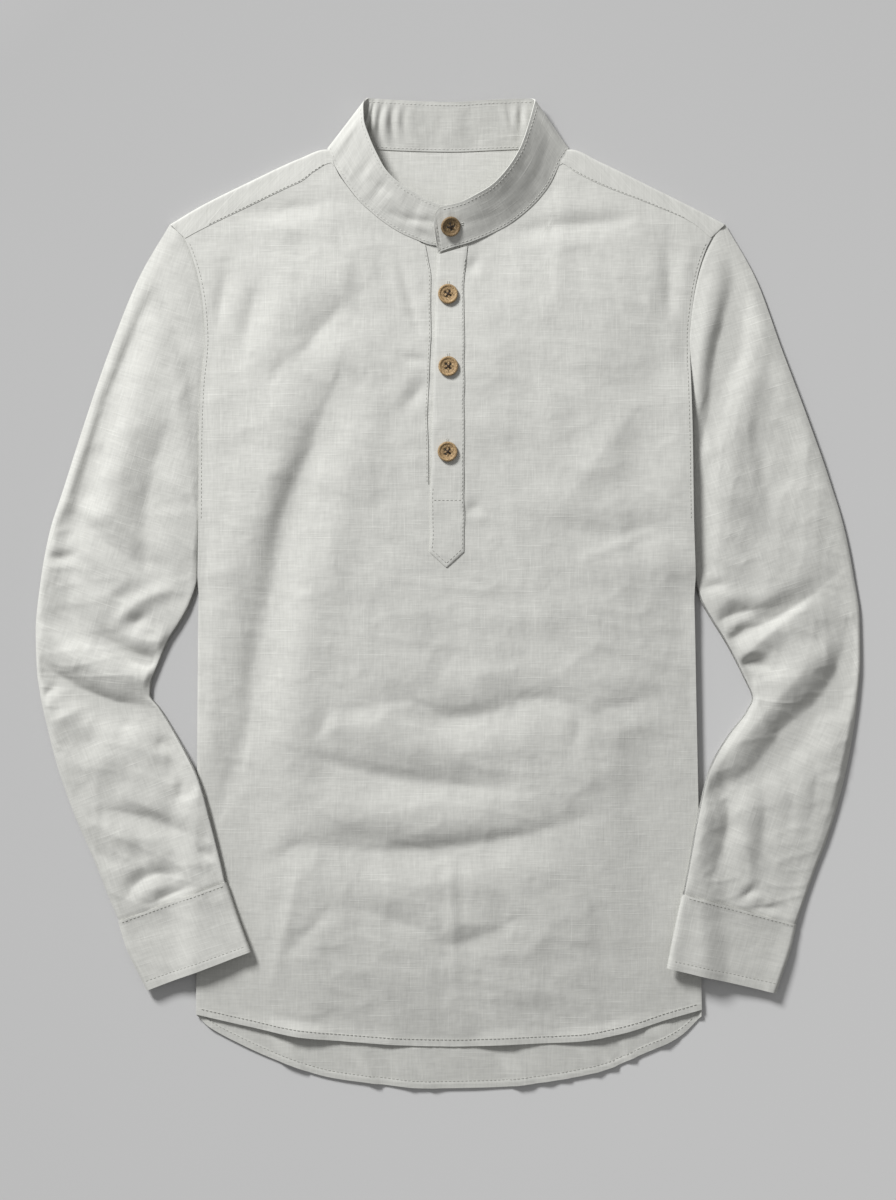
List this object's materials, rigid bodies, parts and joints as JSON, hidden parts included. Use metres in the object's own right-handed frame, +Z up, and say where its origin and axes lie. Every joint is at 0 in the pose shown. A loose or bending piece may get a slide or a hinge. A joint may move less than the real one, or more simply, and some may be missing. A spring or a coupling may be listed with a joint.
{
  "type": "mandarin collar shirt",
  "caption": "Long-sleeved linen popover shirt with a stand collar, a pointed half placket, wooden buttons, plain cuffs and a curved hem, laid flat.",
  "frame": {"origin": "on the table, under the middle of the shirt's overall box", "axes": "+Z up from the table, +Y from the hem to the collar, +X to the viewer's right"},
  "size_m": [0.6831, 0.8202, 0.0174],
  "materials": {
    "linen": "plain woven slub linen, matt",
    "button": "turned coconut shell, satin"
  },
  "bodies": {
    "root": {"back": "linen", "yoke": "linen", "front": "linen", "placket_under": "linen", "placket_over": "linen", "collar": "linen", "sleeve_left": "linen", "cuff_left": "linen", "sleeve_right": "linen", "cuff_right": "linen", "button_1": "button", "button_2": "button", "button_3": "button", "button_4": "button"}
  },
  "joints": []
}
